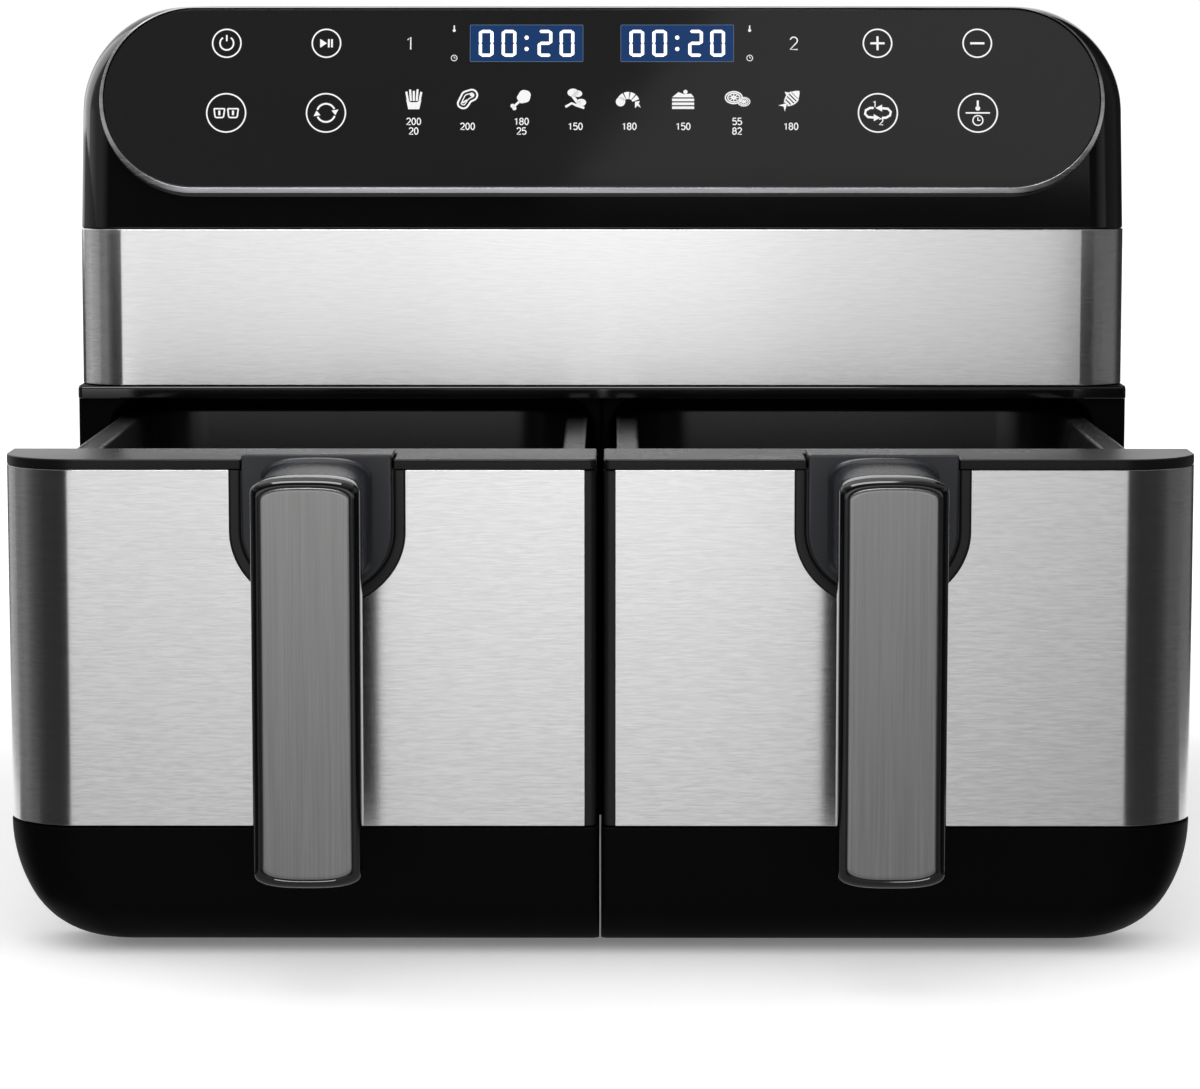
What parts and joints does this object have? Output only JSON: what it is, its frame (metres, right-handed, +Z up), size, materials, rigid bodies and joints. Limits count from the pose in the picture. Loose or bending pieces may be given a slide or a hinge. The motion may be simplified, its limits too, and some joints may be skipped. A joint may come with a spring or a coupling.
{
  "type": "air fryer",
  "caption": "Free-standing air fryer with side-by-side pull-out baskets, a sloping glass touch panel, a brushed steel band and upright bar handles.",
  "frame": {"origin": "on the surface it stands on, under the middle of the bounding box with both drawers pulled out 175 mm", "axes": "+Z up, front and handles towards -Y, +X to the right of a person facing the front"},
  "size_m": [0.4, 0.5722, 0.3188],
  "materials": {
    "gloss_black": "gloss",
    "matte_black": "fine matte texture",
    "satin_rim": "satin",
    "brushed_steel": "horizontal brushing",
    "handle_steel": "satin, vertical brushing",
    "trim_silver": "satin",
    "black_glass": "polished, opaque",
    "display_blue": "polished",
    "bezel_navy": "satin",
    "nonstick": "satin non-stick coating",
    "rubber": "matte",
    "silicone": "matte",
    "liner_steel": "satin",
    "heater_metal": "dull",
    "motor_metal": "satin",
    "fan_aluminium": "satin",
    "board_green": "solder mask"
  },
  "bodies": {
    "housing": {"top_cover": "gloss_black", "lower_housing": "matte_black", "rear_cover": "matte_black", "front_frame": "matte_black", "band_lip": "gloss_black", "steel_band": "brushed_steel", "foot_front_left": "rubber", "foot_front_right": "rubber", "foot_rear_left": "rubber", "foot_rear_right": "rubber", "panel_ring": "trim_silver", "control_glass": "black_glass", "left_display": "display_blue", "right_display": "display_blue", "control_board": "board_green", "power_board": "board_green", "motor_deck": "liner_steel", "cord_gland": "matte_black", "left_liner": "liner_steel", "left_heater": "heater_metal", "left_heater_guard": "liner_steel", "left_motor": "motor_metal", "left_interlock_switch": "matte_black", "right_liner": "liner_steel", "right_heater": "heater_metal", "right_heater_guard": "liner_steel", "right_motor": "motor_metal", "right_interlock_switch": "matte_black"},
    "left_drawer": {"left_drawer_core": "matte_black", "left_drawer_skin": "brushed_steel", "left_drawer_rim": "satin_rim", "left_drawer_lower_cover": "matte_black", "left_handle_bezel": "bezel_navy", "left_handle_grip": "gloss_black", "left_handle_insert": "handle_steel", "left_basket": "nonstick"},
    "left_tray": {"left_crisper_tray": "nonstick", "left_bumper_front_inner": "silicone", "left_bumper_front_outer": "silicone", "left_bumper_rear_inner": "silicone", "left_bumper_rear_outer": "silicone"},
    "left_fan": {"left_convection_fan": "fan_aluminium", "left_fan_shaft": "motor_metal"},
    "left_plunger": {"left_interlock_plunger": "silicone"},
    "right_drawer": {"right_drawer_core": "matte_black", "right_drawer_skin": "brushed_steel", "right_drawer_rim": "satin_rim", "right_drawer_lower_cover": "matte_black", "right_handle_bezel": "bezel_navy", "right_handle_grip": "gloss_black", "right_handle_insert": "handle_steel", "right_basket": "nonstick"},
    "right_tray": {"right_crisper_tray": "nonstick", "right_bumper_front_inner": "silicone", "right_bumper_front_outer": "silicone", "right_bumper_rear_inner": "silicone", "right_bumper_rear_outer": "silicone"},
    "right_fan": {"right_convection_fan": "fan_aluminium", "right_fan_shaft": "motor_metal"},
    "right_plunger": {"right_interlock_plunger": "silicone"}
  },
  "joints": [
    {"name": "left_drawer_slide", "type": "slide", "parent": "housing", "child": "left_drawer", "axis": [0, -1, 0], "range_m": [-0.175, 0.075]},
    {"name": "left_tray_lift", "type": "slide", "parent": "left_drawer", "child": "left_tray", "axis": [0, 0, 1], "range_m": [0, 0.115]},
    {"name": "left_fan_spin", "type": "hinge", "parent": "housing", "child": "left_fan", "pos_m": [-0.09525, 0.115, 0.194], "axis": [0, 0, 1], "continuous": true},
    {"name": "left_interlock_press", "type": "slide", "parent": "housing", "child": "left_plunger", "axis": [0, 1, 0], "range_m": [0, 0.003], "stiffness_N_per_m": 150},
    {"name": "right_drawer_slide", "type": "slide", "parent": "housing", "child": "right_drawer", "axis": [0, -1, 0], "range_m": [-0.175, 0.075]},
    {"name": "right_tray_lift", "type": "slide", "parent": "right_drawer", "child": "right_tray", "axis": [0, 0, 1], "range_m": [0, 0.115]},
    {"name": "right_fan_spin", "type": "hinge", "parent": "housing", "child": "right_fan", "pos_m": [0.09525, 0.115, 0.194], "axis": [0, 0, 1], "continuous": true},
    {"name": "right_interlock_press", "type": "slide", "parent": "housing", "child": "right_plunger", "axis": [0, 1, 0], "range_m": [0, 0.003], "stiffness_N_per_m": 150}
  ]
}
